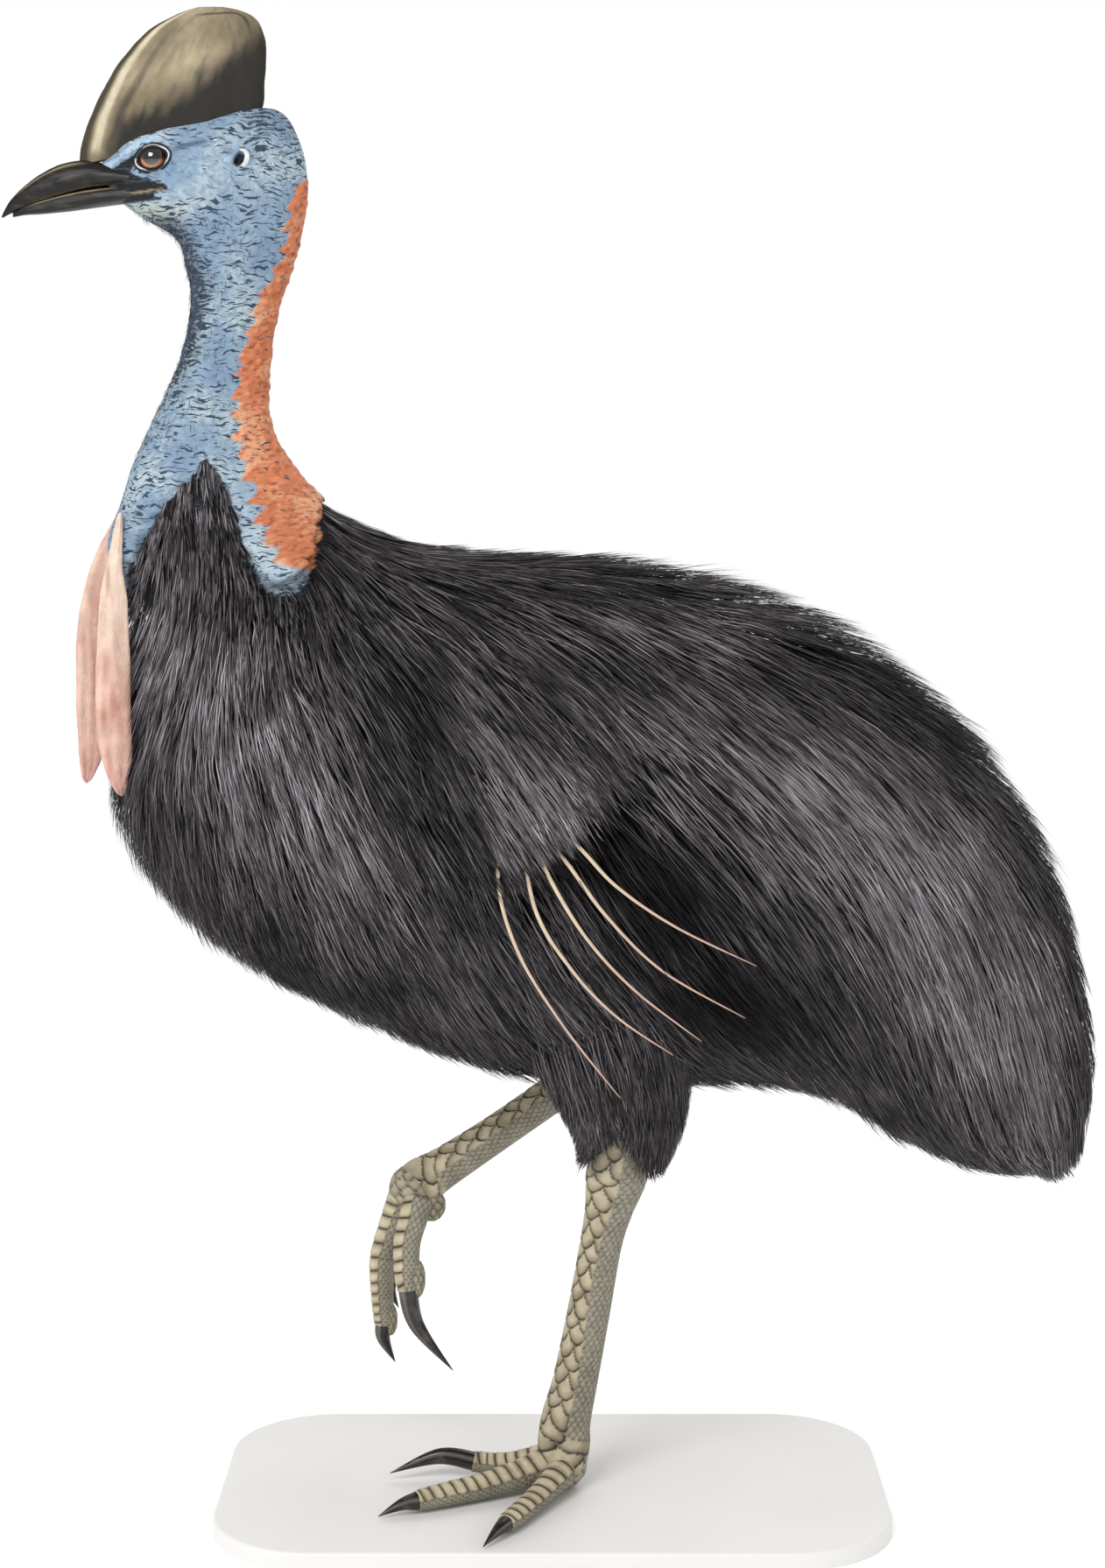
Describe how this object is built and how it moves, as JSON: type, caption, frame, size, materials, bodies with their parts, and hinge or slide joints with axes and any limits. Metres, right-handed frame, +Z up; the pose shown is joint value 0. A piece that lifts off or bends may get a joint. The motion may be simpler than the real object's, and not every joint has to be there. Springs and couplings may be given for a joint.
{
  "type": "cassowary",
  "caption": "Large flightless bird in mid-stride on a plain base: shaggy dark plumage, bare blue neck, tall head casque, long wattles, quilled stub wings and clawed feet.",
  "frame": {"origin": "centre of the base's underside", "axes": "+Z up; the bird faces -X and its left side is -Y"},
  "size_m": [1.2492, 0.4694, 1.72],
  "materials": {
    "plumage": "matt, hair-like feathers",
    "blue_skin": "satin, finely wrinkled",
    "wattle_skin": "satin, soft folds",
    "leg_skin": "satin, scaled",
    "casque_horn": "horn, satin",
    "bill_horn": "horn, semi-gloss",
    "claw_horn": "horn, semi-gloss",
    "eye": "wet gloss",
    "base_lacquer": "matt pale lacquer"
  },
  "bodies": {
    "root": {"head": "blue_skin", "casque": "casque_horn", "bill_upper": "bill_horn", "bill_lower": "bill_horn", "eye_left": "eye", "eye_right": "eye", "neck_upper": "blue_skin", "neck_lower": "blue_skin", "wattle_left": "wattle_skin", "wattle_right": "wattle_skin", "torso": "plumage", "wing_left": "plumage", "wing_right": "plumage", "thigh_left": "plumage", "thigh_right": "plumage", "shank_left": "leg_skin", "shank_right": "leg_skin", "toe_inner_left": "leg_skin", "toe_middle_left": "leg_skin", "toe_outer_left": "leg_skin", "toe_inner_right": "leg_skin", "toe_middle_right": "leg_skin", "toe_outer_right": "leg_skin", "claw_inner_left": "claw_horn", "claw_middle_left": "claw_horn", "claw_outer_left": "claw_horn", "claw_inner_right": "claw_horn", "claw_middle_right": "claw_horn", "claw_outer_right": "claw_horn", "stand_base": "base_lacquer"}
  },
  "joints": []
}
